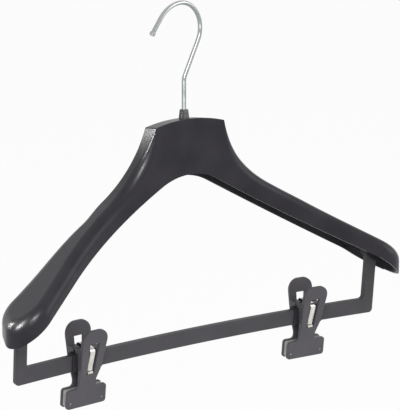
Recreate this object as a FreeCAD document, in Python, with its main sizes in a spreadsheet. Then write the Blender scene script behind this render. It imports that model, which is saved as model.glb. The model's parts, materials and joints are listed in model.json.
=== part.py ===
import FreeCAD, Part
import math
import os
import types

import Sketcher

vec = FreeCAD.Vector
xAxis = vec(1, 0, 0)
yAxis = vec(0, 1, 0)
zAxis = vec(0, 0, 1)

# Driving sizes in millimetres and degrees, measured from the hook's seat
sizes = {
    # Hook wire, bent in one plane
    "wire_diameter": 3.7,
    "loop_radius": 21.8,
    "loop_offset": 3.1,
    "mouth_radius": 29.4,
    "mouth_angle": 52,
    "mouth_run": 13,
    "tip_diameter": 4.8,
    "tip_length": 2.6,
    "tip_rounding": 0.45,
    "stem_bend_drop": 60,
    "stem_bend_radius": 10,
    "hook_turn": 9,
    "foot_diameter": 7,
    "foot_height": 2,
    "washer_diameter": 9.5,
    "washer_thickness": 0.8,
    # Fits between pieces
    "running_gap": 0.05,
    "socket_gap": 0.1,
    "overrun": 6,
    # Collar between hook and neck
    "collar_bottom_diameter": 9.2,
    "collar_top_diameter": 7.1,
    "collar_height": 8,
    "collar_rounding": 0.5,
    "shank_diameter": 6.4,
    "shank_length": 6,
    "seat_depth": 0.6,
    "flute_radius": 1,
    "flute_depth": 0.45,
    "flute_count": 10,
    # Front outline of the neck and shoulders
    "neck_drop": 93.2,
    "neck_half_width": 34.4,
    "neck_depth": 17.3,
    "neck_forward": 1.6,
    "top_tilt_angle": 6.3,
    "crown_inset": 2.95,
    "crown_radius": 130,
    "neck_side_angle": 70.8,
    "arm_root_half_width": 47.42,
    "crest_angle": 32,
    "crest_bend_station": 108,
    "crest_bend_radius": 400,
    "crest_end_angle": 33.6,
    "arch_drop": 138.5,
    "arch_radius": 57,
    "hem_angle": 29.4,
    "hem_bend_inset": 27.2,
    "hem_bend_radius": 80,
    "hem_end_angle": 36.5,
    "back_hem_drop": 3.5,
    "arm_split": 4,
    "arm_split_station": 80,
    "nose_split": 36,
    # Plan of the shoulders, which sweep forward
    "half_span": 195.2,
    "front_sweep_corner": 81.8,
    "front_sweep_radius": 205,
    "front_sweep_angle": 30.5,
    "back_sweep_corner": 102.7,
    "back_sweep_radius": 550,
    "back_sweep_angle": 12.4,
    "nose_front_radius": 19,
    "nose_back_radius": 29,
    "nose_angle": 21,
    # Walls of the hollow shell
    "wall": 2.2,
    "crest_wall": 2,
    "neck_rounding": 1.6,
    "root_rounding": 8.3,
    "arm_front_rounding": 7.6,
    "arm_back_rounding": 9.6,
    "nose_tip_rounding": 14,
    "nose_back_rounding": 17,
    "root_start": 40,
    "arm_start": 92,
    "nose_inset": 45,
    "tip_inset": 15,
    "crown_rounding": 0.8,
    "boss_diameter": 12.8,
    "boss_length": 25,
    "socket_wall": 1.8,
    "socket_level": 48,
    # Trouser bar frame, raked and bowed
    "bar_drop": 281.05,
    "bar_forward": 28.8,
    "rake_angle": 4.88,
    "bar_inset": 12.8,
    "bar_bow": 9.57,
    "bar_height": 13.6,
    "bar_thickness": 4.95,
    "bar_rounding": 0.7,
    "post_width": 10.4,
    "post_height": 57.5,
    "post_corner_radius": 3.5,
    "inner_corner_radius": 3,
    # Clip jaws, with levels counted from the bar's lower edge
    "left_clip_station": 114.2,
    "right_clip_station": 112.5,
    "jaw_width": 38.4,
    "jaw_height": 16,
    "jaw_drop": 31,
    "jaw_corner_radius": 2.6,
    "plate_thickness": 2.6,
    "pad_thickness": 2.25,
    "pad_margin": 1,
    "pads_gap": 0.3,
    "peg_diameter": 2,
    "peg_station": 15.4,
    "peg_drop": 26.2,
    "peg_recess": 0.5,
    # Clip saddles, which slide on the bar and carry the hinge ridge
    "clip_lean": 1.5,
    "saddle_length": 29,
    "saddle_gap": 0.35,
    "saddle_wall": 1.1,
    "ridge_diameter": 3.2,
    "ridge_lift": 1.4,
    "ridge_length": 20,
    "web_width": 1.6,
    # Clip levers
    "waist_width": 17.2,
    "waist_drop": 9.4,
    "waist_radius": 3,
    "paddle_width": 24.2,
    "paddle_level": 26,
    "paddle_radius": 9.5,
    "lever_rise": 36.8,
    "lever_angle": 7.9,
    "fold_radius": 8,
    "edge_bend_radius": 10,
    "lever_thickness": 2.6,
    "lever_rounding": 0.7,
    "elbow_level": 2,
    "elbow_reach": 9.2,
    "saddle_clearance": 0.4,
    "knuckle_lift": 0.3,
    "knuckle_height": 3.4,
    "knuckle_split": 1.5,
    "window_top": 24.8,
    "window_bottom": 2.5,
    "window_top_width": 9.3,
    "window_bottom_width": 7.2,
    "sill_drop": 2.5,
    "sill_thickness": 1.6,
    # Clip spring, a flat strip
    "spring_width": 4.8,
    "spring_thickness": 0.6,
    "spring_level": 19.8,
    "leg_recess": 1.4,
    "spring_bend_radius": 3.2,
    "curl_reach": 1.7,
    "curl_rise": 2,
    "curl_radius": 0.6,
}

doc = FreeCAD.newDocument("skirt_hanger")
sheet = doc.addObject("Spreadsheet::Sheet", "Sizes")
for row, (alias, value) in enumerate(sizes.items(), start=1):
    sheet.set(f"A{row}", alias)
    sheet.set(f"B{row}", str(value))
    sheet.setAlias(f"B{row}", alias)
doc.recompute()
dim = types.SimpleNamespace(**{alias: float(sheet.get(alias)) for alias in sizes})


# Outlines are lists of corners (across, up, rounding radius)

def flat(corner):
    return vec(corner[0], corner[1], 0)


def rounded(corners, closed=True):
    # Lines between the corners, each corner eased by an arc of its radius
    count = len(corners)
    spans = []
    for place, corner in enumerate(corners):
        here = flat(corner)
        isEnd = not closed and place in (0, count - 1)
        if corner[2] == 0 or isEnd:
            spans.append((here, None, here))
            continue
        before = (flat(corners[place - 1]) - here).normalize()
        after = (flat(corners[(place + 1) % count]) - here).normalize()
        half = before.getAngle(after) / 2
        reach = corner[2] / math.tan(half)
        inward = (before + after).normalize()
        middle = here + inward * (corner[2] / math.sin(half) - corner[2])
        spans.append((here + before * reach, middle, here + after * reach))
    curves = []
    for place, (start, middle, end) in enumerate(spans):
        if middle is not None:
            curves.append(Part.Arc(start, middle, end))
        isLast = not closed and place == count - 1
        following = spans[(place + 1) % count][0]
        if not isLast and not end.isEqual(following, Part.Precision.confusion()):
            curves.append(Part.LineSegment(end, following))
    return curves


def shifted(corners, distance, closed=True):
    # The same corners moved to the left of the way round, with their radii kept concentric
    count = len(corners)
    moved = []
    for place, corner in enumerate(corners):
        here = flat(corner)
        back = corners[place - 1] if closed or place > 0 else None
        ahead = corners[(place + 1) % count] if closed or place < count - 1 else None
        arriving = (here - flat(back)).normalize() if back else None
        leaving = (flat(ahead) - here).normalize() if ahead else arriving
        arriving = arriving or leaving
        normals = zAxis.cross(arriving) + zAxis.cross(leaving)
        spot = here + normals * (distance / (1 + arriving.dot(leaving)))
        turn = arriving.cross(leaving).z
        radius = corner[2] - distance * math.copysign(1, turn) if corner[2] else 0
        moved.append((spot.x, spot.y, radius))
    return moved


def heading(angle):
    # The way that lies at an angle in degrees
    return vec(math.cos(math.radians(angle)), math.sin(math.radians(angle)), 0)


def crossing(point, way, otherPoint, otherWay):
    # Where two lines meet, each given by a point and its way
    return point + way * ((otherPoint - point).cross(otherWay).z / way.cross(otherWay).z)


# Features of a body

def newBody(label):
    body = doc.addObject("PartDesign::Body", label)
    body.Label = label
    return body


def plane(body, role):
    return next(item for item in body.Origin.OriginFeatures if item.Role == role)


def drawn(body, role, name, outlines, level=None):
    # A sketch of closed or open outlines on one of the body's planes, raised to a level
    sketch = body.newObject("Sketcher::SketchObject", name)
    sketch.AttachmentSupport = [(plane(body, role), "")]
    sketch.MapMode = "FlatFace"
    if level is not None:
        sketch.setExpression("AttachmentOffset.Base.z", level)
    for curves in outlines:
        first = sketch.GeometryCount
        sketch.addGeometry(curves, False)
        joinEnds(sketch, range(first, sketch.GeometryCount))
    return sketch


def joinEnds(sketch, places):
    # Ends that meet are held together
    ends = [(place, end, sketch.getPoint(place, end)) for place in places for end in (1, 2)
            if not isinstance(sketch.Geometry[place], Part.Circle)]
    for first, (place, end, point) in enumerate(ends):
        for otherPlace, otherEnd, otherPoint in ends[first + 1:]:
            if otherPlace != place and point.isEqual(otherPoint, Part.Precision.confusion()):
                sketch.addConstraint(Sketcher.Constraint("Coincident", place, end, otherPlace, otherEnd))


def ring(body, role, name, centre, diameter, level=None):
    # A sketch of one circle whose size is bound to the sheet
    sketch = drawn(body, role, name, [[Part.Circle(flat(centre), zAxis, dim.wire_diameter)]], level)
    size = sketch.addConstraint(Sketcher.Constraint("Diameter", 0, dim.wire_diameter))
    sketch.setExpression(f"Constraints[{size}]", diameter)
    return sketch


def padded(body, name, sketch, length, symmetric=False, reverse=False):
    pad = body.newObject("PartDesign::Pad", name)
    pad.Profile = sketch
    pad.SideType = "Symmetric" if symmetric else "One side"
    pad.Reversed = reverse
    pad.setExpression("Length", length)
    doc.recompute()
    return pad


def cutThrough(body, name, sketch, way=None):
    pocket = body.newObject("PartDesign::Pocket", name)
    pocket.Profile = sketch
    pocket.Type = "Length"
    pocket.SideType = "Symmetric"
    pocket.setExpression("Length", "2 * Sizes.half_span")
    if way is not None:
        pocket.UseCustomVector = True
        pocket.Direction = way
    doc.recompute()
    return pocket


def eased(body, name, radius, test):
    # Rounds the edges of the body's last feature that pass the test
    base = body.Tip
    edges = [f"Edge{place}" for place, edge in enumerate(base.Shape.Edges, start=1) if test(edge)]
    fillet = body.newObject("PartDesign::Fillet", name)
    fillet.Base = (base, edges)
    fillet.setExpression("Radius", radius)
    doc.recompute()
    return fillet


def middle(edge):
    return edge.valueAt((edge.FirstParameter + edge.LastParameter) / 2)


def runsAlong(edge, axis):
    ends = edge.valueAt(edge.LastParameter) - edge.valueAt(edge.FirstParameter)
    straight = isinstance(edge.Curve, Part.Line)
    return straight and ends.cross(axis).Length < Part.Precision.confusion()


def near(value, target):
    return abs(value - target) < dim.running_gap


def cylinder(name, diameter, height, bottom):
    # An upright round block on the swivel axis
    block = doc.addObject("Part::Cylinder", name)
    block.setExpression("Radius", f"({diameter}) / 2")
    block.setExpression("Height", height)
    block.setExpression("Placement.Base.z", bottom)
    return block


def combined(kind, name, base, tool):
    result = doc.addObject(kind, name)
    result.Base = base
    result.Tool = tool
    return result


def fused(name, shapes):
    result = doc.addObject("Part::MultiFuse", name)
    result.Shapes = shapes
    return result


# Shoulder shell, made as its right half and mirrored
neckFront = -dim.neck_depth / 2 - dim.neck_forward
neckBack = dim.neck_depth / 2 - dim.neck_forward
topWay = vec(0, 1, -math.tan(math.radians(dim.top_tilt_angle)))
crownAngle = math.asin((dim.neck_half_width - dim.crown_inset) / dim.crown_radius)


def planOutline(inset, inner):
    # The plan from an inner end near the middle, along the front, round the nose and back
    frontRoot = vec(dim.front_sweep_corner, neckFront, 0)
    backRoot = vec(dim.back_sweep_corner, neckBack, 0)
    frontWay = heading(-dim.front_sweep_angle)
    inside = frontRoot + zAxis.cross(frontWay) * dim.nose_front_radius
    run = (dim.half_span - dim.nose_front_radius - inside.x) / frontWay.x
    noseSpot = inside + frontWay * run + heading(dim.nose_angle) * dim.nose_front_radius
    noseWay = zAxis.cross(heading(dim.nose_angle))
    front = crossing(frontRoot, frontWay, noseSpot, noseWay)
    back = crossing(backRoot, heading(-dim.back_sweep_angle), noseSpot, noseWay)
    corners = [
        (inner, neckFront, 0),
        (frontRoot.x, frontRoot.y, dim.front_sweep_radius),
        (front.x, front.y, dim.nose_front_radius),
        (back.x, back.y, dim.nose_back_radius),
        (backRoot.x, backRoot.y, dim.back_sweep_radius),
        (inner, neckBack, 0),
    ]
    return rounded(shifted(corners, inset))


def crownApex():
    return dim.crown_radius / math.cos(crownAngle) - dim.crown_radius - dim.neck_drop


def topCorners():
    # Right half of the upper front outline from the crown to past the nose
    apex = vec(0, crownApex(), 0)
    edge = apex + vec(1, -math.tan(crownAngle), 0) * dim.neck_half_width
    side = math.tan(math.radians(dim.neck_side_angle))
    root = edge + vec(1, -side, 0) * (dim.arm_root_half_width - dim.neck_half_width)
    turn = math.radians(dim.neck_side_angle - dim.crest_angle)
    rootRadius = edge.distanceToPoint(root) / math.tan(turn / 2)
    toBend = rootRadius * (math.tan(turn / 2) - math.tan(turn / 4))
    firstBend = root - vec(1, -side, 0).normalize() * toBend
    secondBend = root + vec(1, -math.tan(math.radians(dim.crest_angle)), 0).normalize() * toBend
    bend = root + vec(1, -math.tan(math.radians(dim.crest_angle)), 0) * (dim.crest_bend_station - root.x)
    reach = dim.half_span + dim.overrun - bend.x
    end = bend + vec(1, -math.tan(math.radians(dim.crest_end_angle)), 0) * reach
    return [
        (apex.x, apex.y, dim.crown_radius),
        (edge.x, edge.y, 0),
        (firstBend.x, firstBend.y, rootRadius),
        (secondBend.x, secondBend.y, rootRadius),
        (bend.x, bend.y, dim.crest_bend_radius),
        (end.x, end.y, 0),
    ]


def aboveOutline(inset):
    # What is cut away above the crown and crests
    right = topCorners()
    left = [(-across, up, radius) for across, up, radius in reversed(right[1:])]
    line = shifted(left + right, -inset, closed=False)
    lid = dim.overrun
    return rounded(line + [(line[-1][0], lid, 0), (line[0][0], lid, 0)])


def hemLine(drop):
    # The arch and one hem, from the middle to past the nose, lower by a drop that fades to the nose
    fading = drop / dim.half_span
    slope = math.tan(math.radians(dim.hem_angle)) - fading
    endSlope = math.tan(math.radians(dim.hem_end_angle)) - fading
    rise = dim.arch_radius * (math.sqrt(1 + slope ** 2) - 1)
    apex = rise - dim.arch_drop - drop
    station = dim.half_span - dim.hem_bend_inset
    bend = apex - station * slope
    far = dim.half_span + dim.overrun
    end = bend - (far - station) * endSlope
    return [(0, apex, dim.arch_radius), (station, bend, dim.hem_bend_radius), (far, end, 0)]


def hemBlock(drop, level):
    # What lies between both hems and a level
    right = hemLine(drop)
    left = [(-across, up, radius) for across, up, radius in reversed(right[1:])]
    far = right[-1][0]
    return rounded(right + [(far, level, 0), (-far, level, 0)] + left)


def midDepth(across):
    # Half way between the front and back lines of the plan
    front = neckFront - max(0, across - dim.front_sweep_corner) * math.tan(math.radians(dim.front_sweep_angle))
    back = neckBack - max(0, across - dim.back_sweep_corner) * math.tan(math.radians(dim.back_sweep_angle))
    return (front + back) / 2


def roundingAt(vertex):
    # The crest's rounding at a place on its rim, least at the neck and most at the back of the nose
    atBack = vertex.Y > midDepth(vertex.X)
    if vertex.X < dim.root_start:
        return dim.neck_rounding
    if vertex.X < dim.arm_start:
        return dim.neck_rounding if atBack else dim.root_rounding
    if vertex.X > dim.half_span - dim.tip_inset:
        return dim.nose_tip_rounding
    if not atBack:
        return dim.arm_front_rounding
    return dim.nose_back_rounding if vertex.X > dim.half_span - dim.nose_inset else dim.arm_back_rounding


def filleted(name, base, radii):
    # Rounds edges of a shape, each given by its place and the radius at either end
    result = doc.addObject("Part::Fillet", name)
    result.Base = base
    result.Edges = radii
    doc.recompute()
    return result


def shoulderHalf(label, inset, inner):
    # The right half of the solid form, drawn in plan and cut to its front outline
    body = newBody(label)
    plan = drawn(body, "XY_Plane", label + "_plan", [planOutline(inset, inner)])
    padded(body, label + "_pad", plan, "Sizes.bar_drop", reverse=True)
    above = drawn(body, "XZ_Plane", label + "_above", [aboveOutline(inset)])
    cutThrough(body, label + "_top", above, topWay)
    return body


def isCrest(edge, floor):
    # The rims of the crest, without the lines across it and the lines of the neck's top
    isLevel = runsAlong(edge, topWay) or runsAlong(edge, zAxis)
    isLow = edge.BoundBox.ZMin < floor + dim.overrun
    return not isLevel and not isLow and middle(edge).x > dim.neck_half_width


halfForm = shoulderHalf("shoulder_form", 0, 0)
formFloor = halfForm.Shape.BoundBox.ZMin
crests = []
for place, edge in enumerate(halfForm.Shape.Edges, start=1):
    if isCrest(edge, formFloor):
        crests.append((place, roundingAt(edge.firstVertex()), roundingAt(edge.lastVertex())))
outer = filleted("shoulder_form_crests", halfForm, crests)
crownLow = topCorners()[1][1] + topWay.z * neckBack - dim.running_gap


def isCrown(edge):
    # The rim of the neck's top face, without the lines that cross it
    onCorner = near(middle(edge).x, dim.neck_half_width)
    crossesFace = runsAlong(edge, topWay) and not onCorner
    return edge.BoundBox.ZMin > crownLow and not crossesFace and middle(edge).x > dim.running_gap


rim = [(place, dim.crown_rounding, dim.crown_rounding)
       for place, edge in enumerate(outer.Shape.Edges, start=1) if isCrown(edge)]
crowned = filleted("shoulder_form_crown", outer, rim)
hemCut = newBody("hem_cut")
backHems = hemBlock(dim.back_hem_drop, -dim.bar_drop - dim.overrun)
padded(hemCut, "hem_cut_pad", drawn(hemCut, "XZ_Plane", "hem_cut_outline", [backHems]), "2 * Sizes.half_span", True)
frontCut = newBody("front_hem_cut")
hemReach = dim.half_span + dim.overrun
frontPlan = rounded([
    (-dim.overrun, -dim.half_span, 0),
    (hemReach, -dim.half_span, 0),
    (hemReach, -dim.nose_split, 0),
    (dim.arm_split_station, -dim.arm_split, 0),
    (-dim.overrun, 0, 0),
])
padded(frontCut, "front_hem_pad", drawn(frontCut, "XY_Plane", "front_hem_plan", [frontPlan]), "Sizes.bar_drop",
       reverse=True)
cutThrough(frontCut, "front_hem_top", drawn(frontCut, "XZ_Plane", "front_hem_outline", [hemBlock(0, dim.overrun)]))
form = combined("Part::Cut", "shoulder_outer", crowned, fused("hem_cuts", [hemCut, frontCut]))

# The hollow, under the crest's own roundings
lowered = doc.addObject("Part::Compound", "lowered_form")
lowered.Links = [outer]
lowered.setExpression(".Placement.Base.z", "-Sizes.crest_wall")
neckRoom = doc.addObject("Part::Box", "neck_room")
neckRoom.setExpression("Length", "Sizes.neck_half_width / 2 + 2 * Sizes.overrun")
neckRoom.setExpression("Width", "2 * Sizes.neck_depth")
neckRoom.setExpression("Height", "Sizes.bar_drop")
neckRoom.setExpression(".Placement.Base.x", "-2 * Sizes.overrun")
neckRoom.setExpression(".Placement.Base.y", "-Sizes.neck_depth")
neckRoom.setExpression(".Placement.Base.z", "-Sizes.bar_drop")
hollowForm = shoulderHalf("shoulder_hollow", dim.wall, -dim.overrun)
hollow = combined("Part::Common", "hollow", hollowForm, fused("hollow_room", [lowered, neckRoom]))
rightWalls = combined("Part::Cut", "right_walls", form, hollow)
leftWalls = doc.addObject("Part::Mirroring", "left_walls")
leftWalls.Source = rightWalls
leftWalls.Normal = xAxis

# The frame of the raked trouser bar, and a place on its bow
framePlace = FreeCAD.Placement(vec(0, -dim.bar_forward, -dim.bar_drop), FreeCAD.Rotation(xAxis, dim.rake_angle))
halfBar = dim.half_span - dim.bar_inset
bowRadius = (halfBar ** 2 + dim.bar_bow ** 2) / (2 * dim.bar_bow)
bowCentre = vec(0, dim.bar_bow - bowRadius, 0)
frontBow = bowRadius - dim.bar_thickness / 2
backBow = bowRadius + dim.bar_thickness / 2


def clipPlace(station, turn=0):
    # On the bar's middle line at a distance from the middle, facing along the bow
    angle = math.degrees(math.asin(station / bowRadius))
    around = FreeCAD.Placement(bowCentre, FreeCAD.Rotation(zAxis, -angle))
    onBar = vec(0, bowRadius, dim.bar_height / 2)
    leaning = FreeCAD.Placement(onBar, FreeCAD.Rotation(xAxis, dim.clip_lean))
    facing = FreeCAD.Placement(vec(0, 0, -dim.bar_height / 2), FreeCAD.Rotation(zAxis, turn))
    return framePlace * around * leaning * facing


def onBow(across, radius):
    return vec(across, bowCentre.y + math.sqrt(radius ** 2 - across ** 2), 0)


def bandOutline(start, end, front, back):
    # A stretch of the bowed band, seen from above
    half = (start + end) / 2
    return [
        Part.Arc(onBow(start, front), onBow(half, front), onBow(end, front)),
        Part.LineSegment(onBow(end, front), onBow(end, back)),
        Part.Arc(onBow(end, back), onBow(half, back), onBow(start, back)),
        Part.LineSegment(onBow(start, back), onBow(start, front)),
    ]


# Sockets for the posts, trimmed to the shell's outer form
between = halfBar - dim.post_width


def postBlock(name, side, margin, bottom, top):
    # The upright stretch of the band that a post takes up, larger than it by a margin
    block = newBody(name)
    room = getattr(dim, margin)
    start, end = sorted((side * (between - room), side * (halfBar + room)))
    outline = bandOutline(start, end, frontBow - room, backBow + room)
    padded(block, name + "_pad", drawn(block, "XY_Plane", name + "_plan", [outline]),
           f"Sizes.{top} - Sizes.{bottom} + Sizes.{margin}")
    block.Placement = framePlace * FreeCAD.Placement(vec(0, 0, getattr(dim, bottom)), FreeCAD.Rotation())
    return block


outerLeft = doc.addObject("Part::Mirroring", "left_form")
outerLeft.Source = form
outerLeft.Normal = xAxis
sockets = []
slots = []
for side, name, trim in ((-1, "left", outerLeft), (1, "right", form)):
    block = postBlock(name + "_socket_block", side, "socket_wall", "socket_level", "bar_drop")
    sockets.append(combined("Part::Common", name + "_socket", block, trim))
    slots.append(postBlock(name + "_slot", side, "socket_gap", "bar_height", "post_height"))

# Hook boss and bores in the neck
seatTop = "-Sizes.neck_drop - Sizes.seat_depth"
bossBottom = "-Sizes.neck_drop - Sizes.wall / 2 - Sizes.boss_length"
boss = cylinder("hook_boss", "Sizes.boss_diameter", "Sizes.boss_length", bossBottom)
seat = cylinder("collar_seat", "Sizes.collar_bottom_diameter + 2 * Sizes.socket_gap", "Sizes.overrun", seatTop)
shankBore = cylinder("shank_bore", "Sizes.shank_diameter", "Sizes.shank_length + Sizes.overrun",
                     f"{seatTop} - Sizes.shank_length")
wireBore = cylinder("wire_bore", "Sizes.wire_diameter + 2 * Sizes.running_gap",
                    "Sizes.boss_length + 2 * Sizes.overrun", f"{bossBottom} - Sizes.overrun")
shellSolid = fused("shell_solid", [rightWalls, leftWalls, boss] + sockets)
shellCuts = fused("shell_cuts", [seat, shankBore, wireBore] + slots)
shell = combined("Part::Cut", "shoulder_shell", shellSolid, shellCuts)
shell.Refine = True

# Hook, from the foot inside the neck to the tip, turned on its stem
hook = newBody("hook")
washerTop = f"{bossBottom} - Sizes.running_gap"
footTop = f"{washerTop} - Sizes.washer_thickness - Sizes.running_gap"
bossLow = -dim.neck_drop - dim.wall / 2 - dim.boss_length
footLevel = bossLow - dim.washer_thickness - 2 * dim.running_gap - dim.foot_height
loopTop = dim.wire_diameter / 2
loopCentre = vec(-dim.loop_offset, loopTop - dim.loop_radius, 0)
bend = vec(0, -dim.stem_bend_drop, 0)
toCentre = loopCentre - bend
lean = math.asin(dim.loop_radius / toCentre.Length)
slant = FreeCAD.Rotation(zAxis, -math.degrees(lean)).multVec(toCentre).normalize()
touch = bend + slant * (toCentre.Length * math.cos(lean))
crest = vec(loopCentre.x, loopTop, 0)
outward = heading(0)
mouthCentre = vec(loopCentre.x, loopTop - dim.mouth_radius, 0)
mouthHalf = mouthCentre + heading(90 + dim.mouth_angle / 2) * dim.mouth_radius
mouthEnd = mouthCentre + heading(90 + dim.mouth_angle) * dim.mouth_radius
mouthWay = heading(180 + dim.mouth_angle)
tip = mouthEnd + mouthWay * dim.mouth_run
stem = rounded([(0, footLevel, 0), (bend.x, bend.y, dim.stem_bend_radius), (touch.x, touch.y, 0)], closed=False)
path = stem + [
    Part.Arc(touch, loopCentre + outward * dim.loop_radius, crest),
    Part.Arc(crest, mouthHalf, mouthEnd),
    Part.LineSegment(mouthEnd, tip),
]
spine = drawn(hook, "XZ_Plane", "hook_path", [path])
section = ring(hook, "XY_Plane", "hook_section", (0, 0), "Sizes.wire_diameter", f"{footTop} - Sizes.foot_height")
wire = hook.newObject("PartDesign::AdditivePipe", "hook_wire")
wire.Profile = section
wire.Spine = spine
doc.recompute()
footRing = ring(hook, "XY_Plane", "foot_ring", (0, 0), "Sizes.foot_diameter", f"{footTop} - Sizes.foot_height")
padded(hook, "hook_foot", footRing, "Sizes.foot_height")
knob = hook.newObject("PartDesign::AdditiveCylinder", "hook_tip")
knob.setExpression("Radius", "Sizes.tip_diameter / 2")
knob.setExpression("Height", "Sizes.tip_length")
tipWay = vec(mouthWay.x, 0, mouthWay.y)
knob.Placement = FreeCAD.Placement(vec(tip.x, 0, tip.y), FreeCAD.Rotation(zAxis, tipWay))
doc.recompute()


def isTipRim(edge):
    isRound = isinstance(edge.Curve, Part.Circle)
    return isRound and near(edge.Curve.Radius, dim.tip_diameter / 2) and edge.BoundBox.ZMin > -dim.stem_bend_drop


eased(hook, "hook_tip_rounding", "Sizes.tip_rounding", isTipRim)
hook.setExpression("Placement.Rotation.Angle", "Sizes.hook_turn")
hook.Placement = FreeCAD.Placement(vec(0, 0, 0), FreeCAD.Rotation(zAxis, dim.hook_turn))

# Washer that carries the neck on the hook's foot
washer = newBody("hook_washer")
washerRing = ring(washer, "XY_Plane", "washer_ring", (0, 0), "Sizes.washer_diameter",
                  f"{washerTop} - Sizes.washer_thickness")
padded(washer, "washer_pad", washerRing, "Sizes.washer_thickness")
washerHole = ring(washer, "XY_Plane", "washer_hole", (0, 0), "Sizes.wire_diameter + 2 * Sizes.running_gap")
cutThrough(washer, "washer_bore", washerHole)

# Fluted collar, turned about the stem
collar = newBody("hook_collar")
boreRadius = dim.wire_diameter / 2 + dim.running_gap
collarFoot = -dim.neck_drop - dim.seat_depth
collarTop = collarFoot + dim.collar_height
shankLow = collarFoot - dim.shank_length
profile = rounded([
    (boreRadius, shankLow, 0),
    (dim.shank_diameter / 2, shankLow, 0),
    (dim.shank_diameter / 2, collarFoot, 0),
    (dim.collar_bottom_diameter / 2, collarFoot, 0),
    (dim.collar_top_diameter / 2, collarTop, dim.collar_rounding),
    (boreRadius, collarTop, 0),
])
turned = collar.newObject("PartDesign::Revolution", "collar_turning")
turned.Profile = drawn(collar, "XZ_Plane", "collar_profile", [profile])
turned.ReferenceAxis = (plane(collar, "Z_Axis"), [""])
turned.Angle = 360
doc.recompute()
flute = collar.newObject("PartDesign::SubtractiveCylinder", "collar_flute")
flute.setExpression("Radius", "Sizes.flute_radius")
flute.setExpression("Height", "Sizes.collar_height + 2 * Sizes.overrun")
fluteFoot = vec(dim.collar_bottom_diameter / 2, 0, collarFoot)
fluteWay = (vec(dim.collar_top_diameter / 2, 0, collarTop) - fluteFoot).normalize()
fluteOut = fluteWay.cross(yAxis) * -1
fluteStart = fluteFoot + fluteOut * (dim.flute_radius - dim.flute_depth) - fluteWay * dim.overrun
flute.Placement = FreeCAD.Placement(fluteStart, FreeCAD.Rotation(zAxis, fluteWay))
doc.recompute()
flutes = collar.newObject("PartDesign::PolarPattern", "collar_flutes")
flutes.Originals = [flute]
flutes.Axis = (plane(collar, "Z_Axis"), [""])
flutes.Angle = 360
flutes.setExpression("Occurrences", "Sizes.flute_count")
collar.Tip = flutes
doc.recompute()

# Trouser bar, a bowed band cut to a U
bar = newBody("trouser_bar")
band = bandOutline(-halfBar, halfBar, frontBow, backBow)
padded(bar, "bar_band", drawn(bar, "XY_Plane", "bar_plan", [band]), "Sizes.post_height")
aboveBar = dim.post_height + dim.overrun
gap = rounded([
    (-between, dim.bar_height, dim.inner_corner_radius),
    (between, dim.bar_height, dim.inner_corner_radius),
    (between, aboveBar, 0),
    (-between, aboveBar, 0),
])
cutThrough(bar, "bar_gap", drawn(bar, "XZ_Plane", "bar_gap_outline", [gap]))


def isBarCorner(edge):
    spot = middle(edge)
    return runsAlong(edge, yAxis) and near(spot.z, 0)


def isBarEdge(edge):
    # The long edges of the band's front and back faces
    spot = middle(edge)
    onFace = near(abs(vec(spot.x, spot.y, 0).distanceToPoint(bowCentre) - bowRadius), dim.bar_thickness / 2)
    return onFace and edge.BoundBox.ZMin < dim.post_height - dim.running_gap


eased(bar, "bar_corners", "Sizes.post_corner_radius", isBarCorner)
eased(bar, "bar_edges", "Sizes.bar_rounding", isBarEdge)
bar.Placement = framePlace

# Levels and depths shared by the clip pieces
padFace = dim.pads_gap / 2
plateFace = padFace + dim.pad_thickness
jawFace = plateFace + dim.plate_thickness
jawTop = dim.jaw_height - dim.jaw_drop
slope = math.tan(math.radians(dim.lever_angle))
saddleInside = dim.bar_thickness / 2 + dim.saddle_gap
saddleSide = saddleInside + dim.saddle_wall
saddleTop = dim.bar_height + dim.saddle_gap + dim.saddle_wall
leverSide = saddleSide + dim.saddle_clearance
knuckleLow = saddleTop + dim.knuckle_lift
knuckleTop = knuckleLow + dim.knuckle_height
pivotLevel = saddleTop + dim.ridge_lift
sillFace = leverSide + dim.sill_thickness
alongBar = FreeCAD.Rotation(zAxis, xAxis)


def outerFace(level):
    # How far the front lever's outer face stands forward at a level
    if level > dim.elbow_level:
        return dim.elbow_reach + slope * (level - dim.elbow_level)
    share = max(0, level + dim.waist_drop) / (dim.elbow_level + dim.waist_drop)
    return jawFace + share * (dim.elbow_reach - jawFace)


def innerFace(level):
    return outerFace(level) - dim.lever_thickness / math.cos(math.radians(dim.lever_angle))


def saddle(label, place):
    # An inverted U over the bar with a round ridge that both levers rock on
    body = newBody(label)
    around = rounded([
        (-saddleSide, 0, 0),
        (-saddleInside, 0, 0),
        (-saddleInside, dim.bar_height + dim.saddle_gap, 0),
        (saddleInside, dim.bar_height + dim.saddle_gap, 0),
        (saddleInside, 0, 0),
        (saddleSide, 0, 0),
        (saddleSide, saddleTop, dim.saddle_wall),
        (-saddleSide, saddleTop, dim.saddle_wall),
    ])
    profile = drawn(body, "YZ_Plane", label + "_profile", [around])
    padded(body, label + "_channel", profile, "Sizes.saddle_length", True)
    half = dim.web_width / 2
    web = rounded([(-half, saddleTop - dim.saddle_wall / 2, 0), (half, saddleTop - dim.saddle_wall / 2, 0),
                   (half, pivotLevel, 0), (-half, pivotLevel, 0)])
    padded(body, label + "_web", drawn(body, "YZ_Plane", label + "_web_outline", [web]), "Sizes.ridge_length", True)
    ridge = body.newObject("PartDesign::AdditiveCylinder", label + "_ridge")
    ridge.setExpression("Radius", "Sizes.ridge_diameter / 2")
    ridge.setExpression("Height", "Sizes.ridge_length")
    ridge.Placement = FreeCAD.Placement(vec(-dim.ridge_length / 2, 0, pivotLevel), alongBar)
    doc.recompute()
    body.Placement = place
    return body


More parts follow.
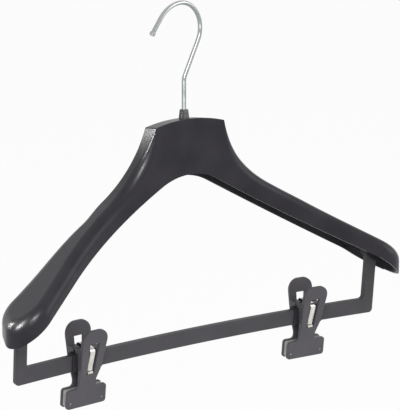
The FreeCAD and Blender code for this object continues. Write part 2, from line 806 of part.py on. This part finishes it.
def lever(label, place):
    # A clip half: its side profile, cut to its front outline, with window, pocket and knuckles
    body = newBody(label)
    far = dim.jaw_width / 2 + dim.overrun
    top = dim.lever_rise + dim.overrun
    side = rounded([
        (-jawFace, -dim.jaw_drop, 0),
        (-plateFace, -dim.jaw_drop, 0),
        (-plateFace, jawTop, 0),
        (-leverSide, -dim.sill_drop, 0),
        (-leverSide, knuckleLow, 0),
        (-dim.knuckle_split / 2, knuckleLow, 0),
        (-dim.knuckle_split / 2, knuckleTop, 0),
        (-innerFace(knuckleTop), knuckleTop, 0),
        (-innerFace(top), top, 0),
        (-outerFace(top), top, 0),
        (-dim.elbow_reach, dim.elbow_level, dim.fold_radius),
        (-jawFace, -dim.waist_drop, dim.fold_radius),
    ])
    padded(body, label + "_side", drawn(body, "YZ_Plane", label + "_profile", [side]), "Sizes.jaw_width", True)
    rightEdge = [
        (far, jawTop, 0),
        (dim.waist_width / 2, jawTop, dim.waist_radius),
        (dim.waist_width / 2, -dim.waist_drop, dim.edge_bend_radius),
        (dim.paddle_width / 2, dim.paddle_level, dim.edge_bend_radius),
        (dim.paddle_width / 2, dim.lever_rise, dim.paddle_radius),
    ]
    leftEdge = [(-across, up, radius) for across, up, radius in reversed(rightEdge)]
    around = rounded(rightEdge + leftEdge + [(-far, top, 0), (far, top, 0)])
    outline = drawn(body, "XZ_Plane", label + "_sides", [around])
    cutThrough(body, label + "_outline", outline)
    window = rounded([
        (-dim.window_bottom_width / 2, dim.window_bottom, 0),
        (dim.window_bottom_width / 2, dim.window_bottom, 0),
        (dim.window_top_width / 2, dim.window_top, 0),
        (-dim.window_top_width / 2, dim.window_top, 0),
    ])
    pegs = [[Part.Circle(vec(way * dim.peg_station, -dim.peg_drop, 0), zAxis, dim.peg_diameter / 2)]
            for way in (-1, 1)]
    cutThrough(body, label + "_window", drawn(body, "XZ_Plane", label + "_openings", [window] + pegs))
    pocketOutline = rounded([
        (-dim.window_bottom_width / 2, -dim.sill_drop, 0),
        (dim.window_bottom_width / 2, -dim.sill_drop, 0),
        (dim.window_bottom_width / 2, dim.window_bottom + dim.running_gap, 0),
        (-dim.window_bottom_width / 2, dim.window_bottom + dim.running_gap, 0),
    ])
    pocketLevel = ("Sizes.bar_thickness / 2 + Sizes.saddle_gap + Sizes.saddle_wall"
                   " + Sizes.saddle_clearance + Sizes.sill_thickness")
    pocket = body.newObject("PartDesign::Pocket", label + "_pocket")
    pocket.Profile = drawn(body, "XZ_Plane", label + "_pocket_outline", [pocketOutline], pocketLevel)
    pocket.Type = "ThroughAll"
    pocket.Reversed = True
    doc.recompute()
    groove = body.newObject("PartDesign::SubtractiveCylinder", label + "_groove")
    groove.setExpression("Radius", "Sizes.ridge_diameter / 2 + Sizes.running_gap")
    groove.setExpression("Height", "Sizes.jaw_width")
    groove.Placement = FreeCAD.Placement(vec(-dim.jaw_width / 2, 0, pivotLevel), alongBar)
    doc.recompute()

    def isJawCorner(edge):
        spot = middle(edge)
        return runsAlong(edge, yAxis) and near(abs(spot.x), dim.jaw_width / 2)

    def isFaceRim(edge):
        # The rim of the outer face, without the window, the peg holes and the lines across its bends
        spot = middle(edge)
        isPeg = edge.isClosed()
        onFace = abs(-spot.y - outerFace(spot.z)) < dim.lever_rounding / 2 and not isPeg
        inWindow = abs(spot.x) < dim.window_top_width / 2 + dim.running_gap and \
            -dim.sill_drop - dim.running_gap < spot.z < dim.window_top + dim.running_gap
        acrossFace = runsAlong(edge, xAxis) and jawTop + dim.running_gap < spot.z < dim.paddle_level
        return onFace and not inWindow and not acrossFace

    eased(body, label + "_jaw_corners", "Sizes.jaw_corner_radius", isJawCorner)
    eased(body, label + "_face_rim", "Sizes.lever_rounding", isFaceRim)
    body.Placement = place
    return body


def pad(label, place):
    # A grip pad with two pegs through the jaw plate
    body = newBody(label)
    half = dim.jaw_width / 2 - dim.pad_margin
    low = dim.pad_margin - dim.jaw_drop
    high = jawTop - dim.pad_margin
    corner = dim.jaw_corner_radius - dim.pad_margin
    face = rounded([(-half, low, corner), (half, low, corner), (half, high, corner), (-half, high, corner)])
    sheetFace = drawn(body, "XZ_Plane", label + "_face", [face], "Sizes.pads_gap / 2")
    padded(body, label + "_sheet", sheetFace, "Sizes.pad_thickness")
    pegs = [[Part.Circle(vec(way * dim.peg_station, -dim.peg_drop, 0), zAxis, dim.peg_diameter / 2)]
            for way in (-1, 1)]
    pegFace = drawn(body, "XZ_Plane", label + "_peg_face", pegs, "Sizes.pads_gap / 2 + Sizes.pad_thickness")
    padded(body, label + "_pegs", pegFace, "Sizes.plate_thickness - Sizes.peg_recess")
    body.Placement = place
    return body


def spring(label, place):
    # A bent strip from one lever's pocket, over the knuckles, to the other's
    body = newBody(label)
    half = dim.spring_thickness / 2
    legFoot = sillFace + dim.running_gap + half
    legLow = dim.running_gap + half - dim.sill_drop
    legTop = outerFace(dim.spring_level) - dim.leg_recess
    front = [
        (-legFoot - dim.curl_reach, legLow + dim.curl_rise, 0),
        (-legFoot - dim.curl_reach, legLow, dim.curl_radius),
        (-legFoot, legLow, dim.curl_radius),
        (-legTop, dim.spring_level, dim.spring_bend_radius),
    ]
    middleLine = front + [(-across, up, radius) for across, up, radius in reversed(front)]
    oneSide = shifted(middleLine, half, closed=False)
    otherSide = shifted(middleLine, -half, closed=False)
    strip = rounded(oneSide + otherSide[::-1])
    padded(body, label + "_strip", drawn(body, "YZ_Plane", label + "_outline", [strip]), "Sizes.spring_width", True)
    body.Placement = place
    return body


nodes = [shell, hook, collar, washer, bar]
for name, station in (("left", -dim.left_clip_station), ("right", dim.right_clip_station)):
    front = clipPlace(station)
    rear = clipPlace(station, turn=180)
    nodes.append(saddle(name + "_clip_saddle", front))
    nodes.append(lever(name + "_front_lever", front))
    nodes.append(lever(name + "_rear_lever", rear))
    nodes.append(spring(name + "_clip_spring", front))
    nodes.append(pad(name + "_front_pad", front))
    nodes.append(pad(name + "_rear_pad", rear))
doc.recompute()

for item in doc.Objects:
    if "Invalid" in item.State or "Error" in item.State:
        raise RuntimeError(f"{item.Label} did not build")
os.makedirs("parts", exist_ok=True)
for node in nodes:
    shape = node.Shape
    if shape.isNull() or not shape.isValid() or len(shape.Solids) != 1:
        raise RuntimeError(f"{node.Label} is not one valid solid")
    shape.exportStep(f"parts/{node.Label}.step")
    print(node.Label, round(shape.Volume), shape.BoundBox)
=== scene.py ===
import json
import math

import bmesh
import bpy
from mathutils import Matrix, Vector


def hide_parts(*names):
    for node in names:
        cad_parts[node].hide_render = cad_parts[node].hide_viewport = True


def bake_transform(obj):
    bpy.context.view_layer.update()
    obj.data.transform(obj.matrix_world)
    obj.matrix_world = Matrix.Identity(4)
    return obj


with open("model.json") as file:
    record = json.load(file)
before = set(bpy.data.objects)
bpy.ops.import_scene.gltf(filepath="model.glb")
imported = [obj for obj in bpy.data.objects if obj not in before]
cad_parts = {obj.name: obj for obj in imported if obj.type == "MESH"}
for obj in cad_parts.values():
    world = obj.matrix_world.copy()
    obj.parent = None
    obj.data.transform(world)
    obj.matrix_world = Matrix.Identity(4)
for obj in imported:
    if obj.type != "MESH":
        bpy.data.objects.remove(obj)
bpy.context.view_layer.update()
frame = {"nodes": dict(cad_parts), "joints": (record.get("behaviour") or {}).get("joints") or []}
print("hanger frame loaded,", len(frame["nodes"]), "nodes")


# small helpers for objects and node materials
def addObject(name, data):
    thing = bpy.data.objects.new(name, data)
    bpy.context.scene.collection.objects.link(thing)
    return thing


def pointAt(thing, spot, aim):
    thing.location = spot
    thing.rotation_euler = (Vector(aim) - Vector(spot)).to_track_quat("-Z", "Y").to_euler()


def newMaterial(name):
    material = bpy.data.materials.new(name)
    material.use_nodes = True
    tree = material.node_tree
    shader = tree.nodes["Principled BSDF"]
    place = tree.nodes.new("ShaderNodeTexCoord").outputs["Object"]
    return material, tree, shader, place


def noise(tree, place, scale, detail=3.0, roughness=0.5, stretch=None):
    node = tree.nodes.new("ShaderNodeTexNoise")
    node.inputs["Scale"].default_value = scale
    node.inputs["Detail"].default_value = detail
    node.inputs["Roughness"].default_value = roughness
    source = place
    if stretch:
        mapping = tree.nodes.new("ShaderNodeMapping")
        mapping.inputs["Scale"].default_value = stretch
        tree.links.new(place, mapping.inputs["Vector"])
        source = mapping.outputs["Vector"]
    tree.links.new(source, node.inputs["Vector"])
    return node.outputs["Fac"]


def spread(tree, value, fromLow, fromHigh, toLow, toHigh):
    node = tree.nodes.new("ShaderNodeMapRange")
    node.inputs["From Min"].default_value = fromLow
    node.inputs["From Max"].default_value = fromHigh
    node.inputs["To Min"].default_value = toLow
    node.inputs["To Max"].default_value = toHigh
    tree.links.new(value, node.inputs["Value"])
    return node.outputs["Result"]


def blendColours(tree, share, first, second):
    node = tree.nodes.new("ShaderNodeMix")
    node.data_type = "RGBA"
    for socket, colour in (("A", first), ("B", second)):
        target = [s for s in node.inputs if s.name == socket and s.type == "RGBA"][0]
        if isinstance(colour, tuple):
            target.default_value = (*colour, 1.0)
        else:
            tree.links.new(colour, target)
    tree.links.new(share, node.inputs[0])
    return [s for s in node.outputs if s.type == "RGBA"][0]


def worked(tree, kind, first, second):
    node = tree.nodes.new("ShaderNodeMath")
    node.operation = kind
    node.use_clamp = kind == "SUBTRACT"
    for number, value in enumerate((first, second)):
        if isinstance(value, (int, float)):
            node.inputs[number].default_value = value
        else:
            tree.links.new(value, node.inputs[number])
    return node.outputs["Value"]


def softNormal(tree, radius, samples=6):
    rounded = tree.nodes.new("ShaderNodeBevel")
    rounded.samples = samples
    rounded.inputs["Radius"].default_value = radius
    return rounded.outputs["Normal"]


def edgeMask(tree, normal, low, high):
    # 1 along outer edges and creases, where the rounded normal leaves the face
    face = tree.nodes.new("ShaderNodeNewGeometry")
    dot = tree.nodes.new("ShaderNodeVectorMath")
    dot.operation = "DOT_PRODUCT"
    tree.links.new(normal, dot.inputs[0])
    tree.links.new(face.outputs["Normal"], dot.inputs[1])
    return spread(tree, dot.outputs["Value"], high, low, 0.0, 1.0)


def bump(tree, height, strength, distance, under=None):
    node = tree.nodes.new("ShaderNodeBump")
    node.inputs["Strength"].default_value = strength
    node.inputs["Distance"].default_value = distance
    tree.links.new(height, node.inputs["Height"])
    if under:
        tree.links.new(under, node.inputs["Normal"])
    return node.outputs["Normal"]


# satin plastic of the shoulders and neck
shellFinish = {
    "dark": (0.0225, 0.021, 0.0262),
    "light": (0.034, 0.0318, 0.039),
    # lighter edge colour, partly rubbed wear and partly a painted highlight along the rounded edges
    "rubbedAndHighlight": (0.06, 0.058, 0.066),
    "specular": 0.12,
    "roughLow": 0.25,
    "roughHigh": 0.34,
    "cloudScale": 38.0,
    "flowScale": 12.0,
    "flowStretch": (1.0, 4.0, 4.0),
    "edgeRadius": 0.0009,
    "edgeLow": 0.72,
    "edgeHigh": 0.97,
    "wearAndHighlightScale": 150.0,
    "wearAndHighlightMost": 0.55,
    "wearPolish": 0.12,
    "rippleScale": 60.0,
    "rippleShare": 0.08,
    "rippleDepth": 0.0004,
    "grainScale": 1500.0,
    "grainShare": 0.14,
    "grainDepth": 0.00005,
}
# the bar and clip levers get lighter greys than the shell, the levers lighter than the bar
barFinish = dict(
    shellFinish,
    dark=(0.055, 0.0525, 0.0585),
    light=(0.071, 0.0675, 0.0755),
    rubbedAndHighlight=(0.12, 0.115, 0.125),
    specular=0.2,
    roughLow=0.36,
    roughHigh=0.48,
    grainShare=0.4,
)
leverFinish = dict(
    barFinish,
    dark=(0.073, 0.0695, 0.0775),
    light=(0.094, 0.0895, 0.0995),
    rubbedAndHighlight=(0.15, 0.145, 0.155),
)
# the collar is a harder, glossier plastic
collarFinish = dict(
    shellFinish,
    dark=(0.026, 0.025, 0.028),
    light=(0.04, 0.039, 0.042),
    specular=0.8,
    roughLow=0.1,
    roughHigh=0.18,
)


def mouldedPlastic(name, finish):
    material, tree, shader, place = newMaterial(name)
    cloud = spread(tree, noise(tree, place, finish["cloudScale"], 4.0), 0.3, 0.7, 0.0, 1.0)
    streaks = noise(tree, place, finish["flowScale"], 3.0, 0.55, finish["flowStretch"])
    flow = spread(tree, streaks, 0.3, 0.7, 0.0, 1.0)
    body = blendColours(tree, cloud, finish["dark"], finish["light"])
    soft = softNormal(tree, finish["edgeRadius"])
    edge = edgeMask(tree, soft, finish["edgeLow"], finish["edgeHigh"])
    patch = spread(tree, noise(tree, place, finish["wearAndHighlightScale"], 5.0, 0.6), 0.46, 0.62, 0.0, finish["wearAndHighlightMost"])
    # painted highlight: the base colour is lightened in patches along edges and creases, partly as rubbed wear and
    # partly standing in for the highlight line on rounded edges
    wornAndHighlit = worked(tree, "MULTIPLY", edge, patch)
    tree.links.new(blendColours(tree, wornAndHighlit, body, finish["rubbedAndHighlight"]), shader.inputs["Base Color"])
    rough = spread(tree, flow, 0.0, 1.0, finish["roughLow"], finish["roughHigh"])
    polish = worked(tree, "MULTIPLY", wornAndHighlit, finish["wearPolish"])
    tree.links.new(worked(tree, "SUBTRACT", rough, polish), shader.inputs["Roughness"])
    shader.inputs["Specular IOR Level"].default_value = finish["specular"]
    wave = noise(tree, place, finish["rippleScale"], 2.0)
    ripple = bump(tree, wave, finish["rippleShare"], finish["rippleDepth"], soft)
    speckle = noise(tree, place, finish["grainScale"], 2.0, 0.6)
    grain = bump(tree, speckle, finish["grainShare"], finish["grainDepth"], ripple)
    tree.links.new(grain, shader.inputs["Normal"])
    return material


# bright plating on drawn wire
platingFinish = {
    "bright": (0.4, 0.42, 0.42),
    "dull": (0.3, 0.315, 0.318),
    "roughLow": 0.12,
    "roughHigh": 0.22,
    "hazeScale": 120.0,
    "drawScale": 900.0,
    "drawStretch": (1.0, 1.0, 0.06),
    "drawShare": 0.12,
    "drawDepth": 0.00003,
}


def platedWire(name, finish):
    material, tree, shader, place = newMaterial(name)
    shader.inputs["Metallic"].default_value = 1.0
    haze = spread(tree, noise(tree, place, finish["hazeScale"], 5.0, 0.6), 0.35, 0.7, 0.0, 1.0)
    draw = noise(tree, place, finish["drawScale"], 3.0, 0.5, finish["drawStretch"])
    tree.links.new(blendColours(tree, haze, finish["bright"], finish["dull"]), shader.inputs["Base Color"])
    tree.links.new(spread(tree, haze, 0.0, 1.0, finish["roughLow"], finish["roughHigh"]), shader.inputs["Roughness"])
    tree.links.new(bump(tree, draw, finish["drawShare"], finish["drawDepth"]), shader.inputs["Normal"])
    return material


# bright spring strip with a grain along its length
stripFinish = {
    "bright": (0.8, 0.775, 0.74),
    "dull": (0.6, 0.575, 0.54),
    "roughLow": 0.2,
    "roughHigh": 0.36,
    "grainScale": 1500.0,
    "grainStretch": (1.0, 0.05, 0.05),
    "grainShare": 0.15,
    "grainDepth": 0.00002,
    "stainScale": 260.0,
    "stainMost": 0.5,
}


def springStrip(name, finish):
    material, tree, shader, place = newMaterial(name)
    shader.inputs["Metallic"].default_value = 1.0
    lines = noise(tree, place, finish["grainScale"], 4.0, 0.55, finish["grainStretch"])
    grain = spread(tree, lines, 0.35, 0.65, 0.0, 1.0)
    stain = spread(tree, noise(tree, place, finish["stainScale"], 4.0), 0.5, 0.75, 0.0, finish["stainMost"])
    shade = blendColours(tree, grain, finish["bright"], finish["dull"])
    tree.links.new(blendColours(tree, stain, shade, finish["dull"]), shader.inputs["Base Color"])
    tree.links.new(spread(tree, grain, 0.0, 1.0, finish["roughLow"], finish["roughHigh"]), shader.inputs["Roughness"])
    tree.links.new(bump(tree, grain, finish["grainShare"], finish["grainDepth"]), shader.inputs["Normal"])
    return material


# pale soft vinyl of the grip pads
padFinish = {
    "pale": (0.42, 0.42, 0.405),
    "dull": (0.33, 0.33, 0.318),
    "grime": (0.19, 0.187, 0.178),
    "specular": 0.4,
    "roughLow": 0.5,
    "roughHigh": 0.68,
    "cloudScale": 220.0,
    "edgeRadius": 0.0005,
    "edgeLow": 0.7,
    "edgeHigh": 0.97,
    "dirtScale": 500.0,
    "dirtMost": 0.45,
    "grainScale": 1800.0,
    "grainShare": 0.4,
    "grainDepth": 0.00004,
}


def gripVinyl(name, finish):
    material, tree, shader, place = newMaterial(name)
    cloud = spread(tree, noise(tree, place, finish["cloudScale"], 4.0), 0.35, 0.65, 0.0, 1.0)
    body = blendColours(tree, cloud, finish["pale"], finish["dull"])
    edge = edgeMask(tree, softNormal(tree, finish["edgeRadius"]), finish["edgeLow"], finish["edgeHigh"])
    smears = spread(tree, noise(tree, place, finish["dirtScale"], 3.0), 0.45, 0.7, 0.0, finish["dirtMost"])
    dirt = worked(tree, "MULTIPLY", edge, smears)
    tree.links.new(blendColours(tree, dirt, body, finish["grime"]), shader.inputs["Base Color"])
    tree.links.new(spread(tree, cloud, 0.0, 1.0, finish["roughLow"], finish["roughHigh"]), shader.inputs["Roughness"])
    shader.inputs["Specular IOR Level"].default_value = finish["specular"]
    speckle = noise(tree, place, finish["grainScale"], 2.0)
    tree.links.new(bump(tree, speckle, finish["grainShare"], finish["grainDepth"]), shader.inputs["Normal"])
    return material


shellPlastic = mouldedPlastic("shell satin plastic", shellFinish)
barPlastic = mouldedPlastic("bar satin plastic", barFinish)
leverPlastic = mouldedPlastic("lever satin plastic", leverFinish)
collarPlastic = mouldedPlastic("collar plastic", collarFinish)
plating = platedWire("bright wire plating", platingFinish)
strip = springStrip("bright spring strip", stripFinish)
vinyl = gripVinyl("pale grip vinyl", padFinish)
print("finishes made,", len(bpy.data.materials), "materials")

nodeFinish = {
    "shoulder_shell": shellPlastic,
    "hook_collar": collarPlastic,
    "trouser_bar": barPlastic,
    "hook": plating,
    "hook_washer": plating,
}
sides = ("left", "right")
parts = ("front", "rear")
for side in sides:
    nodeFinish[side + "_clip_saddle"] = shellPlastic
    nodeFinish[side + "_clip_spring"] = strip
    for part in parts:
        nodeFinish[f"{side}_{part}_lever"] = leverPlastic
        nodeFinish[f"{side}_{part}_pad"] = vinyl
for name, node in frame["nodes"].items():
    node.data.materials.clear()
    node.data.materials.append(nodeFinish[name])
print("finishes given to", len(frame["nodes"]), "nodes")

# each clip's spring strip as two halves, cut at the rear squeeze pivot
springPiece = {
    "lean": math.radians(1.5),
    "bendStart": 0.001,
    "bendEnd": 0.0065,
    "cuts": 7,
    "merge": 0.000002,
    "sharp": math.radians(35),
}
jointNamed = {joint["name"]: joint for joint in frame["joints"]}


def cutAcross(shape, spot, way, drop=False):
    everything = shape.verts[:] + shape.edges[:] + shape.faces[:]
    bmesh.ops.bisect_plane(shape, geom=everything, dist=0.0, plane_co=spot, plane_no=way, clear_inner=drop)


def springHalf(side, part):
    joint = jointNamed[f"{side}_rear_squeeze"]
    pivot = Vector(joint["pos_m"])
    along = Vector(joint["axis"]).normalized()
    rise = Vector(jointNamed[side + "_clip_slide"]["axis"])
    back = Matrix.Rotation(springPiece["lean"], 3, along) @ rise.cross(along).normalized()
    way = back if part == "rear" else -back
    shape = bmesh.new()
    shape.from_mesh(frame["nodes"][side + "_clip_spring"].data)
    bmesh.ops.remove_doubles(shape, verts=shape.verts, dist=springPiece["merge"])
    cutAcross(shape, pivot, way, drop=True)
    bmesh.ops.holes_fill(shape, edges=[e for e in shape.edges if e.is_boundary], sides=0)
    # rings across the strip near the cut
    for step in range(1, springPiece["cuts"] + 1):
        cutAcross(shape, pivot + way * (springPiece["bendEnd"] * step / springPiece["cuts"]), way)
    bmesh.ops.recalc_face_normals(shape, faces=shape.faces)
    mesh = bpy.data.meshes.new(f"{side}_{part}_spring_half")
    shape.to_mesh(mesh)
    shape.free()
    mesh.materials.append(strip)
    mesh.shade_smooth()
    mesh.set_sharp_from_angle(angle=springPiece["sharp"])
    half = addObject(f"{side}_{part}_spring_half", mesh)
    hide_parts(side + "_clip_spring")
    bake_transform(half)


for side in sides:
    for part in parts:
        springHalf(side, part)
print("spring halves made")

# floor and room
room = {
    "floorLevel": -0.46,
    "floorHalf": 9.0,
    "floorWhite": (0.95, 0.95, 0.95),
    "share": 0.93,  # how much of the seen floor is plain white
    "fill": 0.55,  # strength of the world as a light
}


def seenDirectly(tree):
    # 1 for rays from the camera, a reflection or a clear piece
    path = tree.nodes.new("ShaderNodeLightPath")
    either = worked(tree, "MAXIMUM", path.outputs["Is Camera Ray"], path.outputs["Is Glossy Ray"])
    return worked(tree, "MAXIMUM", either, path.outputs["Is Transmission Ray"])


shape = bmesh.new()
bmesh.ops.create_grid(shape, x_segments=1, y_segments=1, size=room["floorHalf"],
                      matrix=Matrix.Translation((0, 0, room["floorLevel"])))
floorMesh = bpy.data.meshes.new("floor")
shape.to_mesh(floorMesh)
shape.free()
floor = addObject("floor", floorMesh)
floorPaint = bpy.data.materials.new("pale floor")
floorPaint.use_nodes = True
tree = floorPaint.node_tree
tree.nodes.clear()
matt = tree.nodes.new("ShaderNodeBsdfDiffuse")
matt.inputs["Color"].default_value = (*room["floorWhite"], 1.0)
glow = tree.nodes.new("ShaderNodeEmission")
glow.inputs["Strength"].default_value = 1.0
mix = tree.nodes.new("ShaderNodeMixShader")
tree.links.new(worked(tree, "MULTIPLY", seenDirectly(tree), room["share"]), mix.inputs["Fac"])
tree.links.new(matt.outputs["BSDF"], mix.inputs[1])
tree.links.new(glow.outputs["Emission"], mix.inputs[2])
tree.links.new(mix.outputs["Shader"], tree.nodes.new("ShaderNodeOutputMaterial").inputs["Surface"])
floorMesh.materials.append(floorPaint)

world = bpy.data.worlds.new("studio")
bpy.context.scene.world = world
world.use_nodes = True
tree = world.node_tree
sky = tree.nodes["Background"]
sky.inputs["Color"].default_value = (1.0, 1.0, 1.0, 1.0)
tree.links.new(spread(tree, seenDirectly(tree), 0.0, 1.0, room["fill"], 1.0), sky.inputs["Strength"])

# soft lamps: where each stands, what it faces, its two sides and its power
lamps = {
    "key": {"spot": (-1.0, -1.4, 0.8), "aim": (0.0, 0.0, -0.18), "across": 0.9, "high": 0.9, "power": 16.0},
    "glint": {"spot": (-0.9, -1.0, 0.9), "aim": (-0.15, -0.03, -0.2), "across": 0.5, "high": 0.18, "power": 42.0,
              "gloss": "shoulder_shell"},
    "sideStrip": {"spot": (-1.15, 0.1, 0.25), "aim": (-0.04, 0.0, -0.13), "across": 0.1, "high": 0.4, "power": 56.0,
                  "gloss": "shoulder_shell"},
    "backStrip": {"spot": (-0.8, 1.05, 0.12), "aim": (-0.04, 0.0, -0.12), "across": 0.12, "high": 0.3, "power": 18.0,
                  "gloss": "shoulder_shell"},
    "lowStrip": {"spot": (-0.72, -1.06, -0.26), "aim": (0.0, 0.0, -0.06), "across": 1.0, "high": 0.3, "power": 2.2,
                 "gloss": "hook"},
    "collarGlint": {"spot": (-0.5, -1.2, -0.2), "aim": (0.0, 0.0, -0.09), "across": 0.06, "high": 0.3, "power": 12.0,
                    "gloss": "hook_collar"},
    "fill": {"spot": (1.5, -1.1, 0.5), "aim": (0.0, 0.0, -0.2), "across": 1.2, "high": 1.2, "power": 11.0},
    "top": {"spot": (0.1, 0.3, 1.5), "aim": (0.0, 0.0, -0.2), "across": 1.2, "high": 0.8, "power": 1.0},
}
for name, lamp in lamps.items():
    light = bpy.data.lights.new(name, "AREA")
    light.shape = "RECTANGLE"
    light.size = lamp["across"]
    light.size_y = lamp["high"]
    light.energy = lamp["power"]
    holder = addObject(name, light)
    pointAt(holder, lamp["spot"], lamp["aim"])
    if lamp.get("gloss"):
        # the narrow lamps only draw highlights along one piece
        receivers = bpy.data.collections.new(name + " receivers")
        receivers.objects.link(frame["nodes"][lamp["gloss"]])
        holder.visible_diffuse = False
        holder.light_linking.receiver_collection = receivers
print("room and", len(lamps), "lamps set")

# camera at the photograph's angle
shot = {"eye": (-0.8578, -1.2015, 0.15565), "target": (0.01074, -0.00762, -0.16627), "lens": 159.83, "sensor": 36.0}
cameraData = bpy.data.cameras.new("shot")
cameraData.lens = shot["lens"]
cameraData.sensor_width = shot["sensor"]
cameraData.sensor_fit = "AUTO"
camera = addObject("shot", cameraData)
pointAt(camera, shot["eye"], shot["target"])
bpy.context.scene.camera = camera
bpy.context.scene.view_settings.view_transform = "Standard"
print("camera set")
